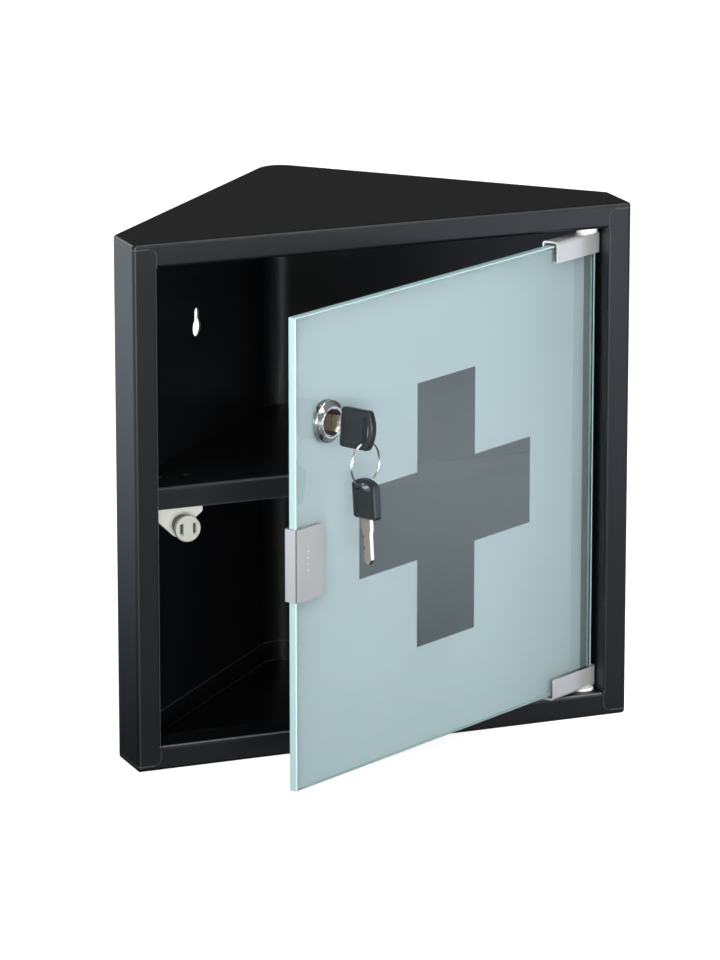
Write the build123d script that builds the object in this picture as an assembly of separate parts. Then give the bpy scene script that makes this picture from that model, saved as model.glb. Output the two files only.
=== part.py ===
from build123d import *
import math
import os

# Corner medicine cabinet: folded steel body, glass door on two pivots, cam lock, push latch.
# Frame: millimetres, +Z up, origin in the middle of the body's footprint on its underside.
# The door's side faces -Y and the corner between the two walls is at +Y.

# Body
WIDTH = 300.0
DEPTH = 175.0
HEIGHT = 302.0
SHEET = 1.0
APEX_RADIUS = 15.0
SHOULDER_RADIUS = 2.0
EDGE_RADIUS = 2.0
INNER_BEND_RADIUS = 0.5
FACE = 14.0
LEDGE = 20.0
RIM = 3.0
SEAM = 0.2
END_GAP = 0.8
STILE_CORNER_RADIUS = 4.0
TUCK_GAP = 0.15
TUCK_HEIGHT = 10.0

# Keyhole slots in the back walls, measured along the wall from the shoulder
KEYHOLE_ALONG = 108.0
KEYHOLE_Z = 226.0
KEYHOLE_RADIUS = 5.25
KEYHOLE_NECK_WIDTH = 5.5
KEYHOLE_RISE = 8.75

# Shelf
SHELF_TOP = 158.0
SHELF_LIP = 12.5
SHELF_SETBACK = 19.0
SHELF_GAP = 0.2
SHELF_FLANGE = 10.0

# Door pane and how it hangs in the opening
OPEN_ANGLE = 28.7
GLASS_THICKNESS = 5.0
GLASS_ARRIS = 0.5
PIVOT_INSET = 8.0
PIVOT_DEPTH = 12.5
FREE_GAP = 2.0
HINGE_GAP = 2.8
RUN_GAP = 0.2

# Pivots
PIN_RADIUS = 2.0
PIN_CLEARANCE = 0.05
PIN_REACH = 3.0
BUSHING_FLANGE_RADIUS = 6.5
BUSHING_FLANGE = 1.0
BUSHING_SPIGOT_RADIUS = 4.0
BUSHING_SPIGOT = 4.0
SPACER_RADIUS = 6.0
SPACER_THICKNESS = 2.4

# Steel clips on the glass
CLIP_STEEL = 1.0
CLIP_LENGTH = 40.5
CLIP_BACK_EXTRA = 1.4
CLIP_HEIGHT = 12.2
CLIP_TOP_PAD = 1.5
CLIP_END_PAD = 0.8
CLIP_SIDE_PAD = 1.5
CLIP_TOP_RADIUS = 2.0
CLIP_END_RADIUS = 2.5
SET_SCREW_RADIUS = 2.0
SET_SCREW_LENGTH = 2.4
SET_SCREW_SPREAD = 18.0
SET_SCREW_DROP = 6.2
SET_SCREW_SOCKET = 2.0

# Keeper plate round the free edge of the glass
KEEPER_HEIGHT = 40.6
KEEPER_PAST_LATCH = 0.5
KEEPER_CENTRE_Z = 145.0
KEEPER_SIDE_PAD = 0.7
KEEPER_CORNER_RADIUS = 3.0
KEEPER_BEND_RADIUS = 1.0
KEEPER_END_PAD = 0.7
GRIP_DOTS = 5
GRIP_DOT_RADIUS = 0.7
GRIP_DOT_PITCH = 3.6
GRIP_DOT_DEPTH = 0.3
GRIP_FROM_EDGE = 9.8

# Cam lock
LOCK_FROM_EDGE = 27.8
LOCK_Z = 220.0
KEY_TURN = 5.4
BEZEL_RADIUS = 11.7
BEZEL_RIM = 0.8
BEZEL_HEIGHT = 2.7
BEZEL_FACE_RADIUS = 9.0
BEZEL_RECESS_RADIUS = 7.6
BEZEL_RECESS = 0.8
GASKET_THICKNESS = 0.3
BARREL_RADIUS = 8.0
BARREL_FLAT = 7.2
BARREL_HOLE_RADIUS = 8.6
BARREL_BEHIND_GLASS = 12.4
PLUG_RADIUS = 6.0
PLUG_CLEARANCE = 0.05
PLUG_FACE_RADIUS = 7.2
PLUG_FACE_THICKNESS = 0.5
PLUG_SQUARE = 7.0
KEYWAY_WIDTH = 2.5
KEYWAY_HEIGHT = 8.0
WAFER_COUNT = 4
WAFER_THICKNESS = 1.0
WAFER_WIDTH = 7.6
WAFER_PITCH = 3.0
WAFER_FIRST = 3.0
WAFER_GAP = 0.05
WAFER_WINDOW_HEIGHT = 8.4
NUT_ACROSS_FLATS = 21.0
NUT_HEIGHT = 4.0
WASHER_RADIUS = 12.0
WASHER_THICKNESS = 0.9
CAM_THICKNESS = 1.5
CAM_WIDTH = 14.0
CAM_REACH = 38.0
CAM_STEP_AT = 14.0
CAM_STEP_RUN = 6.0
CAM_CATCH_GAP = 0.6
CAM_GAP = 0.1
CAM_SCREW_RADIUS = 2.0
CAM_SCREW_LENGTH = 3.0
CAM_SCREW_HEAD_RADIUS = 4.8
CAM_SCREW_HEAD = 2.4

# Keys
KEY_THICKNESS = 2.1
KEY_SHANK_WIDTH = 9.0
KEY_SHANK_LENGTH = 6.8
KEY_BLADE_WIDTH = 7.0
KEY_BLADE_LENGTH = 18.2
KEY_TANG_LENGTH = 11.0
KEY_FACE_GAP = 0.2
KEY_CUT_DEPTHS = (1.6, 0.9, 2.0, 1.2)
KEY_CUT_RADIUS = 1.3
KEY_TIP_BEVEL = 2.6
BOW_LENGTH = 22.0
BOW_SHOULDER_AT = 18.8
BOW_INNER_WIDTH = 21.8
BOW_OUTER_WIDTH = 21.8
BOW_DROP = 0.8
BOW_THICKNESS = 4.6
BOW_CORNER_RADIUS = 2.0
BOW_EDGE_RADIUS = 1.0
BOW_SLOT_AT = 15.5
BOW_SLOT_LENGTH = 15.0
BOW_SLOT_WIDTH = 4.0
BOW_SLOT_ENDS = 2.4
BOW_SLOT_CORNER = 0.7
BOW_PANEL_AT = 7.4
BOW_PANEL_LENGTH = 10.0
BOW_PANEL_WIDTH = 15.0
BOW_PANEL_DEPTH = 0.3

# Split ring
RING_WIRE_RADIUS = 0.4
RING_RADIUS = 11.85
RING_TURN_OFFSET = 0.3
RING_SIDE_GAP = 1.2
RING_SEAT_GAP = 1.0
RING_ASIDE = 1.4
SPARE_SEAT_GAP = 1.0
SPARE_ASIDE = 0.5
SPARE_LEAN = 6.0
SPARE_YAW = 18.2

# Push latch under the shelf
LATCH_X_FROM_STILE = 23.4
LATCH_Z = 133.4
LATCH_TRAVEL = 5.0
LATCH_HEAD_RADIUS = 7.5
LATCH_HEAD_THICKNESS = 2.4
LATCH_ROD_RADIUS = 5.45
LATCH_ROD_LENGTH = 19.0
LATCH_CLEARANCE = 0.1
LATCH_STOP_GAP = 4.0
LATCH_FACE_GAP = 0.3
LATCH_WALL = 1.5
LATCH_COLLAR = 0.5
LATCH_COLLAR_RADIUS = 7.0
LATCH_FOOT_RADIUS = 7.8
BRACKET_LEFT = 14.3
BRACKET_RIGHT = 13.0
BRACKET_RIGHT_RISE = 6.5
BRACKET_LEG = 20.0
BRACKET_WALL_GAP = 2.0
HOUSING_RADIUS = 7.5
HOUSING_LENGTH = 23.5
SPRING_WIRE_RADIUS = 0.4
SPRING_RADIUS = 3.3
SPRING_PITCH = 2.6
SPRING_BORE_RADIUS = 4.2
SPRING_BORE_DEPTH = 12.0
SPRING_END_GAP = 0.1
POLE_THICKNESS = 1.1
POLE_CENTRE = 3.85
POLE_HEIGHT = 5.2
POLE_SUNK = 0.6
POLE_SLOT_WIDTH = 2.0
POLE_SLOT_HEIGHT = 7.0
POLE_SLOT_DEPTH = 1.4
MAGNET_DEPTH = 4.0
BRACKET_SCREW_RADIUS = 1.5
BRACKET_SCREW_HEAD_RADIUS = 3.0
BRACKET_SCREW_HEAD = 2.0
BRACKET_SCREW_SPREAD = 16.0
BRACKET_SCREW_BACK = 13.0

# Places worked out from the sizes above
FRONT = -DEPTH / 2
HALF = WIDTH / 2
SIDE_DEPTH = DEPTH - HALF + (math.sqrt(2) - 1) * APEX_RADIUS
OPENING = HALF - FACE
SILL_TOP = FACE
HEADER_LOW = HEIGHT - FACE
PIVOT_X = OPENING - PIVOT_INSET
PIVOT_Y = FRONT + PIVOT_DEPTH
GLASS_LEFT = -OPENING + FREE_GAP
GLASS_RIGHT = OPENING - HINGE_GAP
GLASS_FRONT = PIVOT_Y - GLASS_THICKNESS / 2
GLASS_BACK = PIVOT_Y + GLASS_THICKNESS / 2
CLIP_STACK = CLIP_TOP_PAD + CLIP_STEEL
GLASS_LOW = SILL_TOP + BUSHING_FLANGE + RUN_GAP + CLIP_STACK
GLASS_TOP = HEADER_LOW - BUSHING_FLANGE - RUN_GAP - SPACER_THICKNESS - CLIP_STACK
CLIP_HALF = GLASS_THICKNESS / 2 + CLIP_SIDE_PAD + CLIP_STEEL
CLIP_RIGHT = GLASS_RIGHT + CLIP_END_PAD + CLIP_STEEL
LOCK_X = GLASS_LEFT + LOCK_FROM_EDGE
KEEPER_HALF = GLASS_THICKNESS / 2 + KEEPER_SIDE_PAD + CLIP_STEEL
KEEPER_LEFT = GLASS_LEFT - KEEPER_END_PAD - CLIP_STEEL
KEEPER_BACK = PIVOT_Y + KEEPER_HALF
LATCH_FACE = KEEPER_BACK + LATCH_FACE_GAP
LATCH_HEAD_BACK = LATCH_FACE + LATCH_HEAD_THICKNESS
BRACKET_FRONT = LATCH_HEAD_BACK + LATCH_TRAVEL + LATCH_STOP_GAP + LATCH_COLLAR
BRACKET_END = BRACKET_FRONT + BRACKET_LEG
SHELF_INSET = 2 * SHEET + SHELF_GAP
SHELF_INSIDE = FRONT + SIDE_DEPTH + HALF - math.sqrt(2) * SHELF_INSET - BRACKET_END
LATCH_X = max(-OPENING + LATCH_X_FROM_STILE, -SHELF_INSIDE + BRACKET_WALL_GAP + BRACKET_LEFT)
KEEPER_WIDTH = LATCH_X + KEEPER_PAST_LATCH - KEEPER_LEFT
WRAPPER_LOW = RIM + SEAM
WRAPPER_TOP = HEIGHT - RIM - SEAM


def plan_corners(inset):
    """Corners of the body's plan, moved inwards by inset, and their radii."""
    slant = inset * (math.sqrt(2) - 1)
    side = HALF - inset
    front = FRONT + inset
    shoulder = FRONT + SIDE_DEPTH - slant
    apex = FRONT + SIDE_DEPTH + HALF - inset * math.sqrt(2)
    points = [(-side, front), (side, front), (side, shoulder), (0, apex), (-side, shoulder)]
    radii = [EDGE_RADIUS, EDGE_RADIUS, SHOULDER_RADIUS, APEX_RADIUS, SHOULDER_RADIUS]
    return points, [max(radius - inset, INNER_BEND_RADIUS) for radius in radii]


def vertex_near(shape, x, y):
    """The shape's corner nearest to a point of its plane."""
    return min(shape.vertices(), key=lambda v: math.hypot(v.X - x, v.Y - y))


def plan_face(inset):
    """The body's plan as a face with rounded corners."""
    points, radii = plan_corners(inset)
    face = Sketch() + make_face(Polyline(*points, close=True))
    for (x, y), radius in zip(points, radii):
        face = fillet(vertex_near(face, x, y), radius)
    return face


def slab(face, low, high):
    """A plan face raised between two heights."""
    return Pos(0, 0, low) * extrude(face, high - low)


def block(low, high):
    """A plain box between two opposite corners."""
    size = [h - l for l, h in zip(low, high)]
    centre = [(h + l) / 2 for l, h in zip(low, high)]
    return Pos(*centre) * Box(*size)


def along_y(radius, start, end, x=0.0, z=0.0):
    """A cylinder along Y from start to end."""
    return Pos(x, (start + end) / 2, z) * Rot(90, 0, 0) * Cylinder(radius, abs(end - start))


def upright(radius, start, end, x=0.0, y=0.0):
    """A cylinder along Z from start to end."""
    return Pos(x, y, (start + end) / 2) * Cylinder(radius, abs(end - start))


def edges_near(shape, axis, test):
    """Edges parallel to an axis whose middle passes a test."""
    return [edge for edge in shape.edges().filter_by(axis) if test(edge.center())]


# Body wrapper: stiles, sides and back walls in one folded sheet
def wrapper_section(with_returns):
    section = plan_face(0) - plan_face(SHEET)
    section -= Pos(0, FRONT + SHEET / 2) * Rectangle(2 * OPENING, 2 * SHEET)
    if not with_returns:
        return section
    for side in (-1, 1):
        middle = (side * (OPENING + SHEET / 2), FRONT + LEDGE / 2)
        section += Pos(*middle) * Rectangle(SHEET, LEDGE)
    for side in (-1, 1):
        outer = vertex_near(section, side * OPENING, FRONT)
        section = fillet(outer, SHEET + INNER_BEND_RADIUS)
        inner = vertex_near(section, side * (OPENING + SHEET), FRONT + SHEET)
        section = fillet(inner, INNER_BEND_RADIUS)
    return section


def keyhole(side):
    """The keyhole cutter in one back wall, along the wall's outward normal."""
    along = KEYHOLE_ALONG / math.sqrt(2)
    spot = (side * (HALF - along), FRONT + SIDE_DEPTH + along, KEYHOLE_Z)
    wall = Plane(origin=spot, x_dir=(-1, side, 0), z_dir=(side, 1, 0))
    shape = Circle(KEYHOLE_RADIUS)
    shape += Pos(0, KEYHOLE_RISE / 2) * Rectangle(KEYHOLE_NECK_WIDTH, KEYHOLE_RISE)
    shape += Pos(0, KEYHOLE_RISE) * Circle(KEYHOLE_NECK_WIDTH / 2)
    return wall * extrude(shape, 3 * SHEET, both=True)


def make_wrapper():
    ends = wrapper_section(False)
    sheet = slab(ends, WRAPPER_LOW, WRAPPER_TOP)
    low = SILL_TOP + SEAM
    high = HEADER_LOW - SEAM
    sheet -= block((-HALF, FRONT - 1, low), (HALF, FRONT + 2 * SHEET, high))
    stiles = Pos(0, 0, low) * extrude(wrapper_section(True), high - low)
    sheet += stiles
    rounded = edges_near(
        sheet,
        Axis.Y,
        lambda c: abs(abs(c.X) - OPENING) < SHEET / 2
        and (abs(c.Z - WRAPPER_LOW) < SHEET / 2 or abs(c.Z - WRAPPER_TOP) < SHEET / 2),
    )
    sheet = fillet(rounded, STILE_CORNER_RADIUS)
    return sheet - keyhole(-1) - keyhole(1)


# Top and bottom panels: a cap with a rim, a tucked flange and a folded front member
def make_cap():
    """The cap in its own frame: outer face at z=0, rim and flanges towards +Z."""
    cap = slab(plan_face(0), 0, RIM)
    rounded = cap.faces().sort_by(Axis.Z)[0].edges()
    cap = fillet(rounded, EDGE_RADIUS)
    tuck_outer = plan_face(SHEET + TUCK_GAP)
    tuck_inner = plan_face(2 * SHEET + TUCK_GAP)
    cap -= slab(tuck_inner, SHEET, RIM)
    tuck = slab(tuck_outer - tuck_inner, RIM, RIM + TUCK_HEIGHT)
    clear = OPENING + SHEET + TUCK_GAP
    tuck -= block((-clear, FRONT - 1, 0), (clear, FRONT + LEDGE, RIM + TUCK_HEIGHT + 1))
    cap += tuck
    half = OPENING - END_GAP
    member = block((-half, FRONT, RIM - SHEET), (half, FRONT + LEDGE, FACE))
    member = fillet(edges_near(member, Axis.X, lambda c: c.Z > FACE / 2 and c.Y < FRONT + 1), EDGE_RADIUS)
    inside = block((-half, FRONT + SHEET, 0), (half, FRONT + LEDGE, FACE - SHEET))
    fold = edges_near(inside, Axis.X, lambda c: c.Z > FACE / 2 and c.Y < FRONT + 2 * SHEET)
    member -= fillet(fold, EDGE_RADIUS - SHEET)
    member -= upright(BUSHING_SPIGOT_RADIUS, FACE - 2 * SHEET, FACE + SHEET, PIVOT_X, PIVOT_Y)
    return cap + member


def make_shelf():
    plate_inset = SHELF_INSET - SHEET
    low = SHELF_TOP - SHELF_LIP
    front = FRONT + SHELF_SETBACK
    behind = FRONT + LEDGE + 2 * SHELF_GAP
    plate = slab(plan_face(plate_inset), SHELF_TOP - SHEET, SHELF_TOP)
    flange = slab(plan_face(plate_inset) - plan_face(SHELF_INSET), SHELF_TOP - SHELF_FLANGE, SHELF_TOP)
    shelf = plate + flange
    shelf -= block((-HALF, FRONT - 1, low - 1), (HALF, behind, SHELF_TOP + 1))
    half = OPENING - END_GAP
    lip = block((-half, front, low), (half, behind + SHEET, SHELF_TOP))
    lip = fillet(edges_near(lip, Axis.X, lambda c: c.Z > SHELF_TOP - 1 and c.Y < front + 1), EDGE_RADIUS)
    under = block((-half, front + SHEET, low), (half, behind + SHEET, SHELF_TOP - SHEET))
    fold = edges_near(under, Axis.X, lambda c: c.Z > SHELF_TOP - 2 * SHEET and c.Y < front + 2 * SHEET)
    lip -= fillet(fold, EDGE_RADIUS - SHEET)
    shelf += lip
    for x, y in bracket_screw_places():
        shelf -= upright(BRACKET_SCREW_RADIUS, SHELF_TOP - 2 * SHEET, SHELF_TOP + 1, LATCH_X + x, y)
    return shelf


# Pivots
def make_bushing():
    """Bushing in its own frame: flange below z=0, spigot above it."""
    bushing = upright(BUSHING_FLANGE_RADIUS, -BUSHING_FLANGE, 0)
    rim = bushing.faces().sort_by(Axis.Z)[0].edges()
    bushing = fillet(rim, BUSHING_FLANGE / 4)
    bushing += upright(BUSHING_SPIGOT_RADIUS, 0, BUSHING_SPIGOT)
    return bushing - upright(PIN_RADIUS + PIN_CLEARANCE, -BUSHING_FLANGE - 1, BUSHING_SPIGOT + 1)


def on_pivot(radius, start, end):
    """A cylinder on the door's pivot line between two heights."""
    return upright(radius, start, end, PIVOT_X, PIVOT_Y)


def make_upper_pin():
    """Pin welded through the upper clip, up into its bushing."""
    pin = on_pivot(PIN_RADIUS, GLASS_TOP + CLIP_TOP_PAD, HEADER_LOW + PIN_REACH)
    return chamfer(pin.faces().sort_by(Axis.Z)[-1].edges(), PIN_RADIUS / 4)


def make_lower_pin():
    """Pin welded through the lower clip, down into its bushing."""
    pin = on_pivot(PIN_RADIUS, SILL_TOP - PIN_REACH, GLASS_LOW - CLIP_TOP_PAD)
    return chamfer(pin.faces().sort_by(Axis.Z)[0].edges(), PIN_RADIUS / 4)


def make_spacer():
    """Washer that takes up the play over the upper clip."""
    low = GLASS_TOP + CLIP_STACK
    washer = on_pivot(SPACER_RADIUS, low, low + SPACER_THICKNESS)
    return washer - on_pivot(PIN_RADIUS + PIN_CLEARANCE, low - 1, low + SPACER_THICKNESS + 1)


# Steel clips on the glass
def clip_solid(grow, length, height):
    """A clip's filled form: grow is how far it stands outside the glass's faces."""
    right = GLASS_RIGHT + CLIP_END_PAD + grow
    half = GLASS_THICKNESS / 2 + CLIP_SIDE_PAD + grow
    top = GLASS_TOP + CLIP_TOP_PAD + grow
    body = block((right - length, PIVOT_Y - half, top - height), (right, PIVOT_Y + half, top))
    ends = edges_near(body, Axis.Z, lambda c: c.X > right - 1)
    body = fillet(ends, CLIP_END_RADIUS - CLIP_STEEL + grow)
    crown = [e for e in body.faces().sort_by(Axis.Z)[-1].edges() if e.center().X > right - length + 0.1]
    return fillet(crown, CLIP_TOP_RADIUS - CLIP_STEEL + grow)


def set_screw_places():
    """The two screws' places along the back of the upper clip."""
    middle = CLIP_RIGHT - CLIP_LENGTH / 2
    height = GLASS_TOP + CLIP_STACK - SET_SCREW_DROP
    return [(middle + side * SET_SCREW_SPREAD / 2, height) for side in (-1, 1)]


def make_upper_clip():
    cavity = clip_solid(0, CLIP_LENGTH + 2 * CLIP_BACK_EXTRA, CLIP_HEIGHT + 1)
    clip = clip_solid(CLIP_STEEL, CLIP_LENGTH + CLIP_BACK_EXTRA, CLIP_HEIGHT) - cavity
    left = CLIP_RIGHT - CLIP_LENGTH
    corner = (left, PIVOT_Y - CLIP_HALF)
    slant = Polyline(
        corner,
        (left - CLIP_BACK_EXTRA, PIVOT_Y + CLIP_HALF),
        (left - 2 * CLIP_BACK_EXTRA, PIVOT_Y - CLIP_HALF),
        close=True,
    )
    clip -= slab(make_face(slant), GLASS_TOP - CLIP_HEIGHT, GLASS_TOP + 2 * CLIP_STACK)
    clip -= on_pivot(PIN_RADIUS, GLASS_TOP, GLASS_TOP + 3 * CLIP_STACK)
    for x, z in set_screw_places():
        clip -= along_y(SET_SCREW_RADIUS, PIVOT_Y, PIVOT_Y + 2 * CLIP_HALF, x, z)
    return clip


def make_upper_liner():
    liner = clip_solid(0, CLIP_LENGTH - CLIP_STEEL - GLASS_ARRIS, CLIP_HEIGHT - CLIP_STEEL - GLASS_ARRIS)
    return liner - glass_block()


def make_upper_set_screws():
    screws = Part()
    inner = PIVOT_Y + GLASS_THICKNESS / 2 + CLIP_SIDE_PAD
    outer = inner + SET_SCREW_LENGTH
    for x, z in set_screw_places():
        screw = along_y(SET_SCREW_RADIUS, inner, outer, x, z)
        socket = RegularPolygon(SET_SCREW_SOCKET / 2, 6, major_radius=False)
        facing = Plane(origin=(x, outer, z), x_dir=(1, 0, 0), z_dir=(0, -1, 0))
        screws += screw - facing * extrude(socket, SET_SCREW_LENGTH / 2)
    return screws


# Glass
def glass_block():
    """The pane without its ground edges or its hole."""
    return block((GLASS_LEFT, GLASS_FRONT, GLASS_LOW), (GLASS_RIGHT, GLASS_BACK, GLASS_TOP))


def make_glass():
    pane = glass_block()
    broad = [f for f in pane.faces() if abs(f.normal_at().Y) > 0.9]
    for face in broad:
        edges = [e for e in pane.edges() if abs(e.center().Y - face.center().Y) < 0.01]
        pane = chamfer(edges, GLASS_ARRIS)
    return pane - along_y(BARREL_HOLE_RADIUS, GLASS_FRONT - 1, GLASS_BACK + 1, LOCK_X, LOCK_Z)


def keeper_solid(grow, width, height):
    """The keeper's filled form: grow is how far it stands outside the liner's faces."""
    left = GLASS_LEFT - KEEPER_END_PAD - grow
    half = GLASS_THICKNESS / 2 + KEEPER_SIDE_PAD + grow
    low = KEEPER_CENTRE_Z - height / 2
    body = block((left, PIVOT_Y - half, low), (left + width, PIVOT_Y + half, low + height))
    bends = edges_near(body, Axis.Z, lambda c: c.X < left + 1)
    return fillet(bends, max(KEEPER_BEND_RADIUS - CLIP_STEEL + grow, GLASS_ARRIS / 2))


def make_keeper():
    plate = keeper_solid(CLIP_STEEL, KEEPER_WIDTH, KEEPER_HEIGHT)
    corners = edges_near(plate, Axis.Y, lambda c: c.X > KEEPER_LEFT + KEEPER_WIDTH - 1)
    plate = fillet(corners, KEEPER_CORNER_RADIUS)
    plate -= keeper_solid(0, KEEPER_WIDTH + 1, KEEPER_HEIGHT + 1)
    face = PIVOT_Y - KEEPER_HALF
    for step in range(GRIP_DOTS):
        z = KEEPER_CENTRE_Z + (step - (GRIP_DOTS - 1) / 2) * GRIP_DOT_PITCH
        plate -= along_y(GRIP_DOT_RADIUS, face - 1, face + GRIP_DOT_DEPTH, KEEPER_LEFT + GRIP_FROM_EDGE, z)
    return plate


def make_keeper_liner():
    rest = 2 * GLASS_ARRIS
    liner = keeper_solid(0, KEEPER_WIDTH - CLIP_STEEL - rest, KEEPER_HEIGHT - rest)
    corners = edges_near(liner, Axis.Y, lambda c: c.X > KEEPER_LEFT + KEEPER_WIDTH / 2)
    liner = fillet(corners, KEEPER_CORNER_RADIUS - GLASS_ARRIS)
    return liner - glass_block()


# Cam lock, made on the line x=0, z=0 with the glass's front at y=0 and the room at -Y
BEZEL_BACK = -GASKET_THICKNESS
BEZEL_FACE = BEZEL_BACK - BEZEL_HEIGHT
RECESS_FLOOR = BEZEL_FACE + BEZEL_RECESS
BARREL_END = GLASS_THICKNESS + BARREL_BEHIND_GLASS
PLUG_BACK = RECESS_FLOOR - CAM_GAP
PLUG_FACE = PLUG_BACK - PLUG_FACE_THICKNESS
CAM_FRONT = BARREL_END + CAM_GAP
CAM_BACK = CAM_FRONT + CAM_THICKNESS
CAM_TIP_FRONT = FRONT + LEDGE + CAM_CATCH_GAP - GLASS_FRONT
KEY_SHOULDER = PLUG_FACE - KEY_FACE_GAP
KEYWAY_END = KEY_SHOULDER + KEY_BLADE_LENGTH + 2 * KEY_FACE_GAP
BOW_INNER = KEY_SHOULDER - KEY_SHANK_LENGTH


def at_lock(shape, turn=0.0):
    """Moves a lock part to its place in the closed door, turned clockwise."""
    return Pos(LOCK_X, GLASS_FRONT, LOCK_Z) * Rot(0, turn, 0) * shape


def make_lock_body():
    profile = Polyline(
        (0, BEZEL_FACE),
        (BEZEL_FACE_RADIUS, BEZEL_FACE),
        (BEZEL_RADIUS, BEZEL_BACK - BEZEL_RIM),
        (BEZEL_RADIUS, BEZEL_BACK),
        (BARREL_RADIUS, BEZEL_BACK),
        (BARREL_RADIUS, BARREL_END),
        (0, BARREL_END),
        close=True,
    )
    body = revolve(make_face(profile), Axis.Y)
    flats = BARREL_RADIUS - BARREL_FLAT
    for side in (-1, 1):
        low = (side * (BARREL_FLAT + flats) - flats, 0, -BARREL_RADIUS)
        high = (side * (BARREL_FLAT + flats) + flats, BARREL_END + 1, BARREL_RADIUS)
        body -= block(low, high)
    body -= along_y(BEZEL_RECESS_RADIUS, BEZEL_FACE - 1, RECESS_FLOOR)
    return body - along_y(PLUG_RADIUS + PLUG_CLEARANCE, RECESS_FLOOR - 1, BARREL_END + 1)


def make_gasket():
    ring = along_y(BEZEL_RADIUS - GASKET_THICKNESS, BEZEL_BACK, 0)
    return ring - along_y(BARREL_HOLE_RADIUS, BEZEL_BACK - 1, 1)


def make_washer():
    ring = along_y(WASHER_RADIUS, GLASS_THICKNESS, GLASS_THICKNESS + WASHER_THICKNESS)
    return ring - along_y(BARREL_HOLE_RADIUS, 0, 2 * GLASS_THICKNESS)


def make_nut():
    start = GLASS_THICKNESS + WASHER_THICKNESS
    facing = Plane(origin=(0, start, 0), x_dir=(1, 0, 0), z_dir=(0, 1, 0))
    nut = facing * extrude(RegularPolygon(NUT_ACROSS_FLATS / 2, 6, major_radius=False), NUT_HEIGHT)
    return nut - along_y(BARREL_RADIUS, start - 1, start + NUT_HEIGHT + 1)


def wafer_places():
    """Where the wafers' front faces stand, behind the plug's face."""
    return [PLUG_FACE + WAFER_FIRST + step * WAFER_PITCH for step in range(WAFER_COUNT)]


def make_plug():
    plug = along_y(PLUG_FACE_RADIUS, PLUG_FACE, PLUG_BACK)
    plug += along_y(PLUG_RADIUS, PLUG_BACK, CAM_FRONT)
    square = PLUG_SQUARE / 2
    plug += block((-square, CAM_FRONT, -square), (square, CAM_BACK, square))
    plug -= block(
        (-KEYWAY_WIDTH / 2, PLUG_FACE - 1, -KEYWAY_HEIGHT / 2),
        (KEYWAY_WIDTH / 2, KEYWAY_END, KEYWAY_HEIGHT / 2),
    )
    half = WAFER_WIDTH / 2 + WAFER_GAP
    for front in wafer_places():
        back = front + WAFER_THICKNESS + WAFER_GAP
        plug -= block((-half, front - WAFER_GAP, -2 * PLUG_RADIUS), (half, back, 2 * PLUG_RADIUS))
    return plug - along_y(CAM_SCREW_RADIUS, CAM_BACK - CAM_SCREW_LENGTH, CAM_BACK + 1)


def make_wafers():
    wafers = Part()
    for front in wafer_places():
        back = front + WAFER_THICKNESS
        wafer = block((-WAFER_WIDTH / 2, front, -PLUG_RADIUS), (WAFER_WIDTH / 2, back, PLUG_RADIUS))
        wafer &= along_y(PLUG_RADIUS - WAFER_GAP, front - 1, back + 1)
        low = (-KEYWAY_WIDTH / 2, front - 1, -WAFER_WINDOW_HEIGHT / 2)
        high = (KEYWAY_WIDTH / 2, back + 1, WAFER_WINDOW_HEIGHT / 2)
        wafers += wafer - block(low, high)
    return wafers


def make_cam():
    """Cranked tongue, upright while the lock is open."""
    side = [
        (-CAM_WIDTH / 2, CAM_FRONT),
        (CAM_STEP_AT, CAM_FRONT),
        (CAM_STEP_AT + CAM_STEP_RUN, CAM_TIP_FRONT),
        (CAM_REACH, CAM_TIP_FRONT),
        (CAM_REACH, CAM_TIP_FRONT + CAM_THICKNESS),
        (CAM_STEP_AT + CAM_STEP_RUN, CAM_TIP_FRONT + CAM_THICKNESS),
        (CAM_STEP_AT, CAM_BACK),
        (-CAM_WIDTH / 2, CAM_BACK),
    ]
    facing = Plane(origin=(0, 0, 0), x_dir=(0, 0, 1), z_dir=(1, 0, 0))
    outline = [(z, -y) for z, y in side]
    profile = make_face(Polyline(*outline, close=True))
    strip = facing * extrude(profile, CAM_WIDTH / 2, both=True)
    face = Plane(origin=(0, 0, 0), x_dir=(1, 0, 0), z_dir=(0, -1, 0))
    plan = Circle(CAM_WIDTH / 2) + Pos(0, CAM_REACH / 2) * Rectangle(CAM_WIDTH, CAM_REACH)
    tip = [vertex_near(plan, side_x * CAM_WIDTH / 2, CAM_REACH) for side_x in (-1, 1)]
    plan = fillet(tip, CAM_WIDTH / 5)
    cam = strip & face * extrude(plan, 2 * CAM_BACK, both=True)
    square = PLUG_SQUARE / 2
    return cam - block((-square, CAM_FRONT - 1, -square), (square, CAM_BACK + 1, square))


def make_cam_screw():
    screw = along_y(CAM_SCREW_HEAD_RADIUS, CAM_BACK, CAM_BACK + CAM_SCREW_HEAD)
    rim = screw.faces().sort_by(Axis.Y)[-1].edges()
    screw = fillet(rim, CAM_SCREW_HEAD / 4)
    slot = CAM_SCREW_HEAD / 5
    top = CAM_BACK + CAM_SCREW_HEAD
    for wide, tall in ((CAM_SCREW_HEAD_RADIUS / 2, slot), (slot, CAM_SCREW_HEAD_RADIUS / 2)):
        screw -= block((-wide, top - CAM_SCREW_HEAD / 2, -tall), (wide, top + 1, tall))
    return screw + along_y(CAM_SCREW_RADIUS, CAM_BACK - CAM_SCREW_LENGTH, CAM_BACK)


# Keys, drawn flat: a runs out from the lock along -Y, b is up
def key_plane(offset):
    """The plane in which a key is drawn, offset sideways from the key's middle."""
    return Plane(origin=(offset, 0, 0), x_dir=(0, -1, 0), z_dir=(-1, 0, 0))


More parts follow.
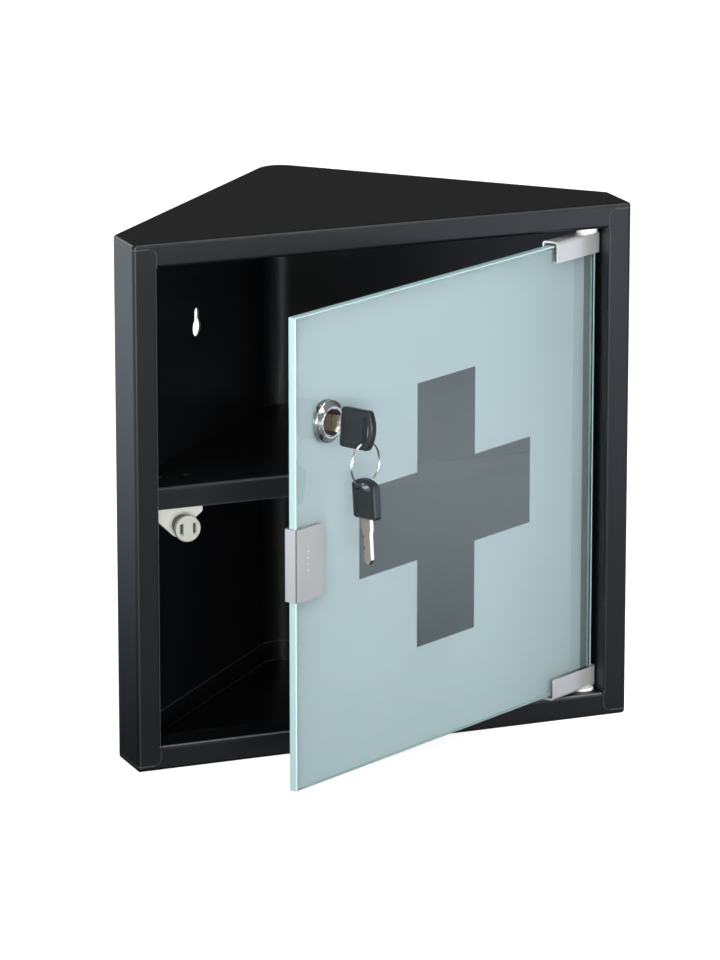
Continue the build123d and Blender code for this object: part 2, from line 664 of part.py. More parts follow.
def make_key_blade():
    tip = -KEY_BLADE_LENGTH
    half = KEY_BLADE_WIDTH / 2
    shank = KEY_SHANK_WIDTH / 2
    outline = Polyline(
        (tip, -half / 3),
        (tip + KEY_TIP_BEVEL, -half),
        (0, -half),
        (0, -shank),
        (KEY_SHANK_LENGTH, -shank),
        (KEY_SHANK_LENGTH, -half),
        (KEY_SHANK_LENGTH + KEY_TANG_LENGTH, -half),
        (KEY_SHANK_LENGTH + KEY_TANG_LENGTH, half),
        (KEY_SHANK_LENGTH, half),
        (KEY_SHANK_LENGTH, shank),
        (0, shank),
        (0, half),
        (tip + KEY_TIP_BEVEL, half),
        (tip, half / 3),
        close=True,
    )
    face = Sketch() + make_face(outline)
    for step, depth in enumerate(KEY_CUT_DEPTHS):
        a = -WAFER_FIRST + KEY_FACE_GAP - WAFER_THICKNESS / 2 - step * WAFER_PITCH
        face -= Pos(a, half + KEY_CUT_RADIUS - depth) * Circle(KEY_CUT_RADIUS)
    blade = key_plane(0) * extrude(face, KEY_THICKNESS / 2, both=True)
    groove = block(
        (KEY_THICKNESS / 4, -KEY_SHANK_LENGTH / 2, -half / 3),
        (KEY_THICKNESS, KEY_BLADE_LENGTH + 1, half / 3),
    )
    return Pos(0, KEY_SHOULDER, 0) * (blade - groove)


def bow_outline(shrink):
    """The bow's outline, drawn smaller all round by shrink."""
    inner = BOW_INNER_WIDTH / 2 - shrink
    outer = BOW_OUTER_WIDTH / 2 - shrink
    start = shrink
    end = BOW_LENGTH - shrink
    arc = ThreePointArc((BOW_SHOULDER_AT, outer), (end, 0), (BOW_SHOULDER_AT, -outer))
    sides = Polyline((BOW_SHOULDER_AT, -outer), (start, -inner), (start, inner), (BOW_SHOULDER_AT, outer))
    face = Sketch() + make_face(sides + arc)
    for b in (-inner, inner):
        face = fillet(vertex_near(face, start, b), BOW_CORNER_RADIUS)
    for b in (-outer, outer):
        face = fillet(vertex_near(face, BOW_SHOULDER_AT, b), BOW_CORNER_RADIUS)
    return face


def bow_slot():
    """Slot for the ring: straight towards the lock, bowed like the outer end."""
    half = BOW_SLOT_LENGTH / 2
    corner = BOW_SLOT_AT + BOW_SLOT_ENDS
    arc = ThreePointArc((corner, half), (BOW_SLOT_AT + BOW_SLOT_WIDTH, 0), (corner, -half))
    sides = Polyline((corner, -half), (BOW_SLOT_AT, -half), (BOW_SLOT_AT, half), (corner, half))
    face = Sketch() + make_face(sides + arc)
    return fillet(face.vertices(), BOW_SLOT_CORNER)


def make_key_bow():
    bow = extrude(bow_outline(0), BOW_THICKNESS / 2, both=True)
    rims = [f for f in bow.faces() if abs(f.normal_at().Z) > 0.99]
    for height in sorted(f.center().Z for f in rims):
        edges = [e for e in bow.edges() if abs(e.center().Z - height) < 0.01]
        bow = fillet(edges, BOW_EDGE_RADIUS)
    bow -= extrude(bow_slot(), BOW_THICKNESS, both=True)
    panel = RectangleRounded(BOW_PANEL_LENGTH, BOW_PANEL_WIDTH, BOW_CORNER_RADIUS / 2)
    for side in (-1, 1):
        floor = side * (BOW_THICKNESS / 2 - BOW_PANEL_DEPTH)
        bow -= Pos(BOW_PANEL_AT, 0, floor) * extrude(panel, side * BOW_THICKNESS)
    tang = KEY_BLADE_WIDTH / 2
    thick = KEY_THICKNESS / 2
    bow -= block((-1, -tang + BOW_DROP, -thick), (KEY_TANG_LENGTH, tang + BOW_DROP, thick))
    return Pos(0, BOW_INNER, -BOW_DROP) * (key_plane(0) * bow)


RING_HALF = RING_WIRE_RADIUS + RING_TURN_OFFSET
RING_Y = BOW_INNER - BOW_SLOT_AT - RING_HALF - RING_SIDE_GAP
RING_SEAT_DROP = BOW_SLOT_LENGTH / 2 + BOW_DROP - RING_WIRE_RADIUS - RING_SEAT_GAP
RING_X = -RING_SEAT_DROP * math.sin(math.radians(KEY_TURN)) - RING_ASIDE
RING_SEAT_Z = -RING_SEAT_DROP * math.cos(math.radians(KEY_TURN))
RING_CENTRE_Z = RING_SEAT_Z - RING_RADIUS


def make_ring():
    """Split ring: two touching turns of wire, in a plane across the lock's line."""
    wire = Sketch()
    for side in (-1, 1):
        wire += Pos(RING_RADIUS, side * RING_TURN_OFFSET) * Circle(RING_WIRE_RADIUS)
    ring = revolve(wire, Axis.Y)
    return Pos(RING_X, RING_Y, RING_CENTRE_Z) * ring


def hang_spare(shape):
    """Hangs a key part, made as for the lock, from the bottom of the ring."""
    slot_edge = BOW_INNER - BOW_SLOT_AT - BOW_SLOT_WIDTH
    contact = slot_edge + RING_WIRE_RADIUS + SPARE_SEAT_GAP
    flat = Pos(0, -contact, SPARE_ASIDE) * shape
    hanging = Rot(-90 - SPARE_LEAN, 0, 0) * flat
    turned = Rot(0, 0, -SPARE_YAW) * hanging
    return Pos(RING_X, RING_Y, RING_CENTRE_Z - RING_RADIUS) * turned


# Push latch, made on its line x=0, z=0 at its real depth
def at_latch(shape):
    return Pos(LATCH_X, 0, LATCH_Z) * shape


def make_bracket():
    top = SHELF_TOP - SHEET - LATCH_Z
    touch = LATCH_FOOT_RADIUS / math.sqrt(2)
    outline = Polyline(
        (-BRACKET_LEFT, top),
        (BRACKET_RIGHT, top),
        (BRACKET_RIGHT, BRACKET_RIGHT_RISE),
        (touch, 0),
        (-touch, -touch),
        (-BRACKET_LEFT, BRACKET_LEFT - 2 * touch),
        close=True,
    )
    face = Sketch() + make_face(outline) + Circle(LATCH_FOOT_RADIUS)
    facing = Plane(origin=(0, BRACKET_FRONT, 0), x_dir=(1, 0, 0), z_dir=(0, -1, 0))
    bracket = facing * extrude(face, -LATCH_WALL)
    bracket += along_y(LATCH_COLLAR_RADIUS, BRACKET_FRONT - LATCH_COLLAR, BRACKET_FRONT)
    leg_end = BRACKET_FRONT + BRACKET_LEG
    bracket += block((-BRACKET_LEFT, BRACKET_FRONT, top - LATCH_WALL), (BRACKET_RIGHT, leg_end, top))
    bracket = fillet(edges_near(bracket, Axis.Z, lambda c: c.Y > leg_end - 0.1), LATCH_WALL * 2)
    bore = LATCH_ROD_RADIUS + LATCH_CLEARANCE
    bracket -= along_y(bore, BRACKET_FRONT - 1, BRACKET_FRONT + LATCH_WALL + 1)
    for x, y in bracket_screw_places():
        bracket -= upright(BRACKET_SCREW_RADIUS, top - 2 * LATCH_WALL, top + 1, x, y)
    return bracket


def bracket_screw_places():
    """The two screws' places under the shelf, to the sides of the latch's line."""
    y = BRACKET_FRONT + BRACKET_SCREW_BACK
    return [(side * BRACKET_SCREW_SPREAD / 2, y) for side in (-1, 1)]


def make_bracket_screws():
    under = SHELF_TOP - SHEET - LATCH_Z - LATCH_WALL
    screws = Part()
    for x, y in bracket_screw_places():
        head = upright(BRACKET_SCREW_HEAD_RADIUS, under - BRACKET_SCREW_HEAD, under, x, y)
        rim = head.faces().sort_by(Axis.Z)[0].edges()
        head = fillet(rim, BRACKET_SCREW_HEAD / 3)
        slot = BRACKET_SCREW_HEAD / 6
        wide = BRACKET_SCREW_HEAD_RADIUS / 2
        low = under - BRACKET_SCREW_HEAD
        head -= block((x - wide, y - slot, low - 1), (x + wide, y + slot, low + BRACKET_SCREW_HEAD / 2))
        head -= block((x - slot, y - wide, low - 1), (x + slot, y + wide, low + BRACKET_SCREW_HEAD / 2))
        screws += head + upright(BRACKET_SCREW_RADIUS, under, under + LATCH_WALL + SHEET, x, y)
    return screws


HOUSING_FRONT = BRACKET_FRONT + LATCH_WALL
HOUSING_FLOOR = HOUSING_FRONT + HOUSING_LENGTH - LATCH_WALL


def make_housing():
    tube = along_y(HOUSING_RADIUS, HOUSING_FRONT, HOUSING_FRONT + HOUSING_LENGTH)
    rim = tube.faces().sort_by(Axis.Y)[-1].edges()
    tube = fillet(rim, LATCH_WALL / 2)
    return tube - along_y(LATCH_ROD_RADIUS + LATCH_CLEARANCE, HOUSING_FRONT - 1, HOUSING_FLOOR)


ROD_END = LATCH_HEAD_BACK + LATCH_ROD_LENGTH
MAGNET_FRONT = LATCH_FACE + POLE_SLOT_DEPTH
SPRING_SEAT = ROD_END - SPRING_BORE_DEPTH


def magnet_solid(room):
    """Magnet and its two steel poles, swollen by room for the pocket that holds them."""
    edge = POLE_CENTRE + POLE_THICKNESS / 2 + room
    half = POLE_HEIGHT / 2 + room
    back = MAGNET_FRONT + MAGNET_DEPTH + room
    magnet = block((-edge, MAGNET_FRONT, -half), (edge, back, half))
    for side in (-1, 1):
        middle = side * POLE_CENTRE
        inner = middle - POLE_THICKNESS / 2 - room
        outer = middle + POLE_THICKNESS / 2 + room
        magnet += block((inner, LATCH_FACE + POLE_SUNK, -half), (outer, MAGNET_FRONT + 1, half))
    return magnet


def make_plunger():
    head = along_y(LATCH_HEAD_RADIUS, LATCH_FACE, LATCH_HEAD_BACK)
    rim = head.faces().sort_by(Axis.Y)[0].edges()
    plunger = fillet(rim, LATCH_HEAD_THICKNESS / 4)
    plunger += along_y(LATCH_ROD_RADIUS, LATCH_HEAD_BACK, ROD_END)
    plunger -= along_y(SPRING_BORE_RADIUS, SPRING_SEAT, ROD_END + 1)
    plunger -= magnet_solid(LATCH_CLEARANCE / 2)
    for side in (-1, 1):
        middle = side * POLE_CENTRE
        low = (middle - POLE_SLOT_WIDTH / 2, LATCH_FACE - 1, -POLE_SLOT_HEIGHT / 2)
        high = (middle + POLE_SLOT_WIDTH / 2, MAGNET_FRONT, POLE_SLOT_HEIGHT / 2)
        plunger -= block(low, high)
    return plunger


def make_spring():
    start = SPRING_SEAT + SPRING_WIRE_RADIUS + SPRING_END_GAP
    end = HOUSING_FLOOR - SPRING_WIRE_RADIUS - SPRING_END_GAP
    path = Helix(SPRING_PITCH, end - start, SPRING_RADIUS, direction=(0, 0, 1))
    section = Plane(origin=path @ 0, z_dir=path % 0) * Circle(SPRING_WIRE_RADIUS)
    coil = sweep(section, path, is_frenet=True)
    return Pos(0, start, 0) * Rot(-90, 0, 0) * coil


def open_door(shape):
    """Turns a part of the closed door to the pose at rest."""
    pivot = Pos(PIVOT_X, PIVOT_Y, 0)
    return pivot * Rot(0, 0, OPEN_ANGLE) * pivot.inverse() * shape


def lower(shape):
    """Mirrors an upper door part to the lower edge of the glass."""
    middle = (GLASS_LOW + GLASS_TOP) / 2
    return mirror(shape, Plane(origin=(0, 0, middle), z_dir=(0, 0, 1)))


cap = make_cap()
bushing = make_bushing()
upper_clip = make_upper_clip()
upper_liner = make_upper_liner()
upper_screws = make_upper_set_screws()
blade = make_key_blade()
bow = make_key_bow()

nodes = {
    "body_wrapper": make_wrapper(),
    "bottom_panel": cap,
    "top_panel": mirror(cap, Plane(origin=(0, 0, HEIGHT / 2), z_dir=(0, 0, 1))),
    "shelf": make_shelf(),
    "pivot_bushing_top": Pos(PIVOT_X, PIVOT_Y, HEADER_LOW) * bushing,
    "pivot_bushing_bottom": Pos(PIVOT_X, PIVOT_Y, SILL_TOP) * Rot(180, 0, 0) * bushing,
    "door_glass": open_door(make_glass()),
    "hinge_clip_top": open_door(upper_clip),
    "hinge_clip_bottom": open_door(lower(upper_clip)),
    "clip_liner_top": open_door(upper_liner),
    "clip_liner_bottom": open_door(lower(upper_liner)),
    "clip_set_screws": open_door(upper_screws + lower(upper_screws)),
    "pivot_pin_top": open_door(make_upper_pin()),
    "pivot_pin_bottom": open_door(make_lower_pin()),
    "pivot_spacer": open_door(make_spacer()),
    "keeper_plate": open_door(make_keeper()),
    "keeper_liner": open_door(make_keeper_liner()),
    "lock_body": open_door(at_lock(make_lock_body())),
    "lock_gasket": open_door(at_lock(make_gasket())),
    "lock_washer": open_door(at_lock(make_washer())),
    "lock_nut": open_door(at_lock(make_nut())),
    "lock_plug": open_door(at_lock(make_plug(), KEY_TURN)),
    "lock_wafers": open_door(at_lock(make_wafers(), KEY_TURN)),
    "lock_cam": open_door(at_lock(make_cam(), KEY_TURN)),
    "cam_screw": open_door(at_lock(make_cam_screw(), KEY_TURN)),
    "key_blade": open_door(at_lock(blade, KEY_TURN)),
    "key_bow": open_door(at_lock(bow, KEY_TURN)),
    "key_ring": open_door(at_lock(make_ring())),
    "spare_key_blade": open_door(at_lock(hang_spare(blade))),
    "spare_key_bow": open_door(at_lock(hang_spare(bow))),
    "latch_bracket": at_latch(make_bracket()),
    "latch_screws": at_latch(make_bracket_screws()),
    "latch_housing": at_latch(make_housing()),
    "latch_plunger": at_latch(make_plunger()),
    "latch_magnet": at_latch(magnet_solid(0)),
    "latch_spring": at_latch(make_spring()),
}

os.makedirs("parts", exist_ok=True)
for name, shape in nodes.items():
    solids = shape.solids()
    whole = solids[0] if len(solids) == 1 else Compound(children=solids)
    whole.label = name
    export_step(whole, f"parts/{name}.step")
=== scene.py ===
"""Finishes, camera and studio for a corner medicine cabinet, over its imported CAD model.

Everything is in metres in the row frame: +Z up, the door's side faces -Y, and the hinge is on the
right, at +X. The door is shown partly open. Patterns on the door are drawn as if it were shut.
"""

from __future__ import annotations

import logging
import math
from dataclasses import dataclass
from enum import Enum
from typing import Any, Mapping, Sequence, Union

import bmesh
import bpy
from mathutils import Matrix, Vector

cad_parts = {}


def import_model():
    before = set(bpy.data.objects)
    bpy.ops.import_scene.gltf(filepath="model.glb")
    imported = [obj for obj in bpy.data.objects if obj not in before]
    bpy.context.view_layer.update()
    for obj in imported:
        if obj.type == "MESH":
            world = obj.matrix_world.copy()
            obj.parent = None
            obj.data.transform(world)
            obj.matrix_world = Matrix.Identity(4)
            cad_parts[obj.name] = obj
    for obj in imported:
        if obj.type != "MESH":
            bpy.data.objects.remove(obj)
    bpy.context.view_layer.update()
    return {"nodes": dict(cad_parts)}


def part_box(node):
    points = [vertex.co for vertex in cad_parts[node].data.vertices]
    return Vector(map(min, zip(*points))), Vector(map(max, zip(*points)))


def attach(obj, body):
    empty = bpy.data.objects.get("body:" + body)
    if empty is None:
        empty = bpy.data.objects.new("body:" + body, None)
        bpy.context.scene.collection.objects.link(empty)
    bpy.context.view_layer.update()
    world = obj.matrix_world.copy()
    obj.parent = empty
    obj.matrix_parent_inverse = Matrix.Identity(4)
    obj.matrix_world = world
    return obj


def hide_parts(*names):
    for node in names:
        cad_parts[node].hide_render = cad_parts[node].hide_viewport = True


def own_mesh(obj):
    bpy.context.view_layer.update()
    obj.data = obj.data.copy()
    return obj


LOG = logging.getLogger("medicine_cabinet")

BEVEL_SAMPLES = 4
SHARP_ANGLE = math.radians(32)
HAIR = 1e-6

Colour = tuple[float, float, float]
Point = tuple[float, float, float]
Span = tuple[float, float]
Number = Union[int, float]
Operand = Union["Signal", Number]

# The door as it hangs: hinge line, opening angle and the planes of its glass when shut
HINGE_X = 0.128
HINGE_Y = -0.075
DOOR_ANGLE = math.radians(28.7)
GLASS_FRONT = -0.0775
GLASS_BACK = -0.0725
GLASS_LEFT = -0.134
GLASS_RIGHT = 0.1332
GLASS_LOW = 0.0177
GLASS_TOP = 0.2819


class Signal:
    """A node's output, with the arithmetic that a finish needs."""

    def __init__(self, graph: "Graph", socket: bpy.types.NodeSocket) -> None:
        """Wrap one output socket of a graph."""
        self.graph = graph
        self.socket = socket

    def _math(self, operation: str, first: Operand, second: Operand) -> "Signal":
        """Add a Math node with two operands."""
        return self.graph.add("ShaderNodeMath", {"operation": operation}, {0: first, 1: second})

    def __add__(self, other: Operand) -> "Signal":
        """Sum of two signals."""
        return self._math("ADD", self, other)

    def __sub__(self, other: Operand) -> "Signal":
        """Difference of two signals."""
        return self._math("SUBTRACT", self, other)

    def __mul__(self, other: Operand) -> "Signal":
        """Product of two signals."""
        return self._math("MULTIPLY", self, other)

    def __radd__(self, other: Operand) -> "Signal":
        """Sum with a number on the left."""
        return self._math("ADD", other, self)

    def __rsub__(self, other: Operand) -> "Signal":
        """Difference with a number on the left."""
        return self._math("SUBTRACT", other, self)

    def magnitude(self) -> "Signal":
        """The signal without its sign."""
        return self.graph.add("ShaderNodeMath", {"operation": "ABSOLUTE"}, {0: self})

    def at_most(self, other: Operand) -> "Signal":
        """The smaller of two signals."""
        return self._math("MINIMUM", self, other)

    def at_least(self, other: Operand) -> "Signal":
        """The larger of two signals."""
        return self._math("MAXIMUM", self, other)

    def step(self, start: Number, end: Number) -> "Signal":
        """Rise smoothly from 0 to 1.

        Args:
            start: Value where the result is 0.
            end: Value where the result is 1, which may be the smaller one.

        Returns:
            The eased share between the two.
        """
        settings = {"interpolation_type": "SMOOTHSTEP", "clamp": True}
        if end < start:
            return 1 - self.graph.add("ShaderNodeMapRange", settings, {"Value": self, 1: end, 2: start})
        return self.graph.add("ShaderNodeMapRange", settings, {"Value": self, 1: start, 2: end})


class Graph:
    """The node tree of one material."""

    def __init__(self, name: str) -> None:
        """Start an empty material.

        Args:
            name: The material's name.
        """
        self.material = bpy.data.materials.new(name)
        self.material.use_nodes = True
        self.tree = self.material.node_tree
        self.tree.nodes.clear()

    def add(
        self,
        kind: str,
        settings: Mapping[str, Any] | None = None,
        inputs: Mapping[Union[str, int], Any] | None = None,
        output: Union[str, int] = 0,
    ) -> Signal:
        """Add one node.

        Args:
            kind: The node's type.
            settings: Its properties, set before its sockets.
            inputs: Values or signals for its sockets, by name or place.
            output: The output that is returned, by name or place.

        Returns:
            That output as a signal.
        """
        node = self.tree.nodes.new(kind)
        for key, value in (settings or {}).items():
            setattr(node, key, value)
        for key, value in (inputs or {}).items():
            if isinstance(value, Signal):
                self.tree.links.new(value.socket, node.inputs[key])
            else:
                node.inputs[key].default_value = self._fitted(node.inputs[key], value)
        return Signal(self, node.outputs[output] if node.outputs else None)

    @staticmethod
    def _fitted(socket: bpy.types.NodeSocket, value: Any) -> Any:
        """Give a three-part colour its alpha where the socket needs one."""
        if socket.type == "RGBA" and len(value) == 3:
            return (*value, 1.0)
        return value

    def place(self, turn: float = 0.0, offset: Sequence[float] = (0, 0, 0)) -> Signal:
        """Read the piece's own coordinates.

        Args:
            turn: Turn about Z in radians, applied before the offset.
            offset: Shift in metres.

        Returns:
            The coordinates as a vector.
        """
        coordinates = self.add("ShaderNodeTexCoord", None, None, "Object")
        inputs = {"Vector": coordinates, "Location": offset, "Rotation": (0, 0, turn)}
        return self.add("ShaderNodeMapping", {"vector_type": "POINT"}, inputs)

    def on_door(self) -> Signal:
        """Coordinates turned back with the door, so that it is shut."""
        back = Matrix.Rotation(-DOOR_ANGLE, 3, "Z") @ Vector((HINGE_X, HINGE_Y, 0))
        return self.place(-DOOR_ANGLE, (HINGE_X - back.x, HINGE_Y - back.y, 0))

    def split(self, vector: Signal) -> tuple[Signal, Signal, Signal]:
        """The three parts of a vector."""
        first = self.add("ShaderNodeSeparateXYZ", None, {0: vector}, 0)
        node = first.socket.node
        return first, Signal(self, node.outputs[1]), Signal(self, node.outputs[2])

    def noise(self, vector: Signal, scale: float, detail: float = 2.0, rough: float = 0.5) -> Signal:
        """Soft random pattern.

        Args:
            vector: Where it is read.
            scale: Its fineness, in repeats per metre.
            detail: How many finer layers it has.
            rough: How strong the finer layers are.

        Returns:
            A value about 0.5.
        """
        inputs = {"Vector": vector, "Scale": scale, "Detail": detail, "Roughness": rough}
        return self.add("ShaderNodeTexNoise", None, inputs, "Fac")

    def blend(self, share: Operand, first: Any, second: Any) -> Signal:
        """Mix two colours.

        Args:
            share: 0 gives the first colour and 1 the second.
            first: Colour or signal.
            second: Colour or signal.

        Returns:
            The mixed colour.
        """
        return self.add("ShaderNodeMix", {"data_type": "RGBA"}, {0: share, 6: first, 7: second}, 2)

    def bump(self, height: Signal, depth: float) -> Signal:
        """A normal from a height pattern.

        Args:
            height: The pattern, 0 to 1.
            depth: Real depth of the pattern in metres.

        Returns:
            The normal.
        """
        return self.add("ShaderNodeBump", None, {"Height": height, "Distance": depth, "Strength": 1.0})

    def edges(self, radius: float) -> Signal:
        """Find the piece's sharp edges.

        Args:
            radius: How far from an edge it reaches, in metres.

        Returns:
            0 on flat places, rising on edges.
        """
        rounded = self.add("ShaderNodeBevel", {"samples": BEVEL_SAMPLES}, {"Radius": radius})
        true = self.add("ShaderNodeNewGeometry", None, None, "Normal")
        along = self.add("ShaderNodeVectorMath", {"operation": "DOT_PRODUCT"}, {0: rounded, 1: true}, "Value")
        return 1 - along

    def mix(self, share: Operand, first: Signal, second: Signal) -> Signal:
        """Mix two shaders."""
        return self.add("ShaderNodeMixShader", None, {0: share, 1: first, 2: second})

    def surface(self, inputs: Mapping[Union[str, int], Any]) -> Signal:
        """The main shader with these sockets."""
        return self.add("ShaderNodeBsdfPrincipled", None, inputs)

    def finish(self, shader: Signal) -> bpy.types.Material:
        """Connect a shader to the output and return the material."""
        self.add("ShaderNodeOutputMaterial", None, {"Surface": shader})
        return self.material


class Run(Enum):
    """Direction of a brushed or machined grain, in the shut door's frame."""

    ALONG_DOOR = (40.0, 900.0, 2600.0)
    UPRIGHT = (2600.0, 900.0, 40.0)


@dataclass(frozen=True)
class PowderCoat:
    """Satin powder coat on sheet steel, with its fine orange peel, edges lightened partly as wear and partly
    as painted highlight, and painted highlight lines along two bends.
    """

    name: str = "black_powder_coat"
    deep: Colour = (0.0020, 0.0023, 0.0030)
    light: Colour = (0.0034, 0.0038, 0.0047)
    # Lighter edge colour: partly wear, partly painted highlight.
    rubbed_and_highlit: Colour = (0.120, 0.128, 0.142)
    roughness: float = 0.37
    gloss: float = 0.37
    cloud_scale: float = 9.0
    cloud_rough: float = 0.04
    peel_scale: float = 1500.0
    peel_depth: float = 0.00002
    peel_rough: float = 0.06
    fleck_scale: float = 5200.0
    fleck_share: float = 0.4
    rub_highlight_scale: float = 220.0
    rub_highlight_least: float = 0.55
    rub_highlight_patches: float = 0.6
    rub_polish: float = 0.08
    edge_width: float = 0.0009
    edge_span: Span = (0.02, 0.30)
    front: float = -0.0875
    fold_x: float = -0.1364
    fold_z: float = 0.0136
    fold_top: float = 0.2880
    fold_width: float = 0.0005
    fold_depth: float = 0.0016
    fold_fade: float = 0.0002
    fold_highlight_share: float = 0.75
    middle: float = 0.151
    end_inner: Span = (0.1341, 0.1343)
    end_outer: Span = (0.1360, 0.1358)
    end_from: Span = (0.1363, 0.1365)
    rim_outer: Span = (0.1405, 0.1400)
    rim_from: Span = (0.1474, 0.1477)
    rim_to: Span = (0.1490, 0.1487)

    def fold_highlights(self, graph: Graph, spot: Signal) -> Signal:
        """Painted highlight lines along two bends of the front sheet.

        Args:
            graph: The material's nodes.
            spot: Place on the cabinet.

        Returns:
            1 on the left stile's inner fold and the sill's upper fold, 0 elsewhere.
        """
        x, y, z = graph.split(spot)
        on_front = y.step(self.front + self.fold_depth, self.front + self.fold_depth * 0.7)
        width, fade = self.fold_width, self.fold_fade
        low, high = self.fold_z - width, self.fold_top
        reach = -self.fold_x - width
        upright = z.step(low, low + fade) * z.step(high, high - fade)
        at_stile = (x - self.fold_x).magnitude().step(width, width * 0.5) * upright
        between = x.magnitude().step(reach, reach - 2 * fade)
        at_sill = (z - self.fold_z).magnitude().step(width, width * 0.5) * between
        return at_stile.at_least(at_sill) * on_front

    def seams(self, graph: Graph, spot: Signal) -> Signal:
        """Ends of header and sill behind the stiles' rounded corners, which get no lightened edge.

        Args:
            graph: The material's nodes.
            spot: Place on the cabinet.

        Returns:
            1 on the four seams, 0 elsewhere.
        """
        x, _, z = graph.split(spot)
        across = x.magnitude()
        from_middle = (z - self.middle).magnitude()
        inner = across.step(*self.end_inner)
        at_end = inner * across.step(*self.end_outer)
        at_rim = from_middle.step(*self.rim_from) * inner * across.step(*self.rim_outer)
        height = from_middle.step(*self.end_from) * from_middle.step(*self.rim_to)
        return at_end.at_least(at_rim) * height

    def build(self) -> bpy.types.Material:
        """Make the material."""
        graph = Graph(self.name)
        spot = graph.place()
        cloud = graph.noise(spot, self.cloud_scale, 3.0)
        peel = graph.noise(spot, self.peel_scale, 2.0, 0.6)
        fleck = graph.noise(spot, self.fleck_scale, 1.0)
        # Edges lightened, partly as wear and partly as painted highlight.
        worn_and_highlit = graph.edges(self.edge_width).step(*self.edge_span) * (1 - self.seams(graph, spot))
        # Painted highlight lines along two bends.
        worn_and_highlit = worn_and_highlit.at_least(self.fold_highlights(graph, spot) * self.fold_highlight_share)
        rub_and_highlight = worn_and_highlit * (self.rub_highlight_least + graph.noise(spot, self.rub_highlight_scale, 2.0) * self.rub_highlight_patches)
        mottle = cloud * (1 - self.fleck_share) + fleck * self.fleck_share
        smoothest = self.roughness - (self.peel_rough + self.cloud_rough) / 2
        rough = smoothest + peel * self.peel_rough + cloud * self.cloud_rough
        return graph.finish(
            graph.surface(
                {
                    "Base Color": graph.blend(rub_and_highlight, graph.blend(mottle, self.deep, self.light), self.rubbed_and_highlit),
                    "Roughness": rough - rub_and_highlight * self.rub_polish,
                    "Specular IOR Level": self.gloss,
                    "Normal": graph.bump(peel, self.peel_depth),
                }
            )
        )


@dataclass(frozen=True)
class CrossWindow:
    """The clear cross in the etched back of the glass, in the shut door's frame."""

    centre_x: float = -0.0004
    centre_z: float = 0.1498
    half_width: float = 0.0766
    half_height: float = 0.0755
    half_upright: float = 0.0258
    half_level: float = 0.0251
    edge: float = 0.00025
    haze: float = 0.165

    def mask(self, graph: Graph, x: Signal, z: Signal) -> Signal:
        """Share of clear glass.

        Args:
            graph: Not used.
            x: Place across the door.
            z: Height.

        Returns:
            0 outside the cross, and nearly 1 inside, where the glass is faintly hazed.
        """
        aside = (x - self.centre_x).magnitude()
        above = (z - self.centre_z).magnitude()

        def inside(value: Signal, limit: float) -> Signal:
            """1 where a distance is under a limit."""
            return value.step(limit + self.edge, limit - self.edge)

        upright = inside(aside, self.half_upright).at_most(inside(above, self.half_height))
        level = inside(aside, self.half_width).at_most(inside(above, self.half_level))
        return upright.at_least(level) * (1 - self.haze)


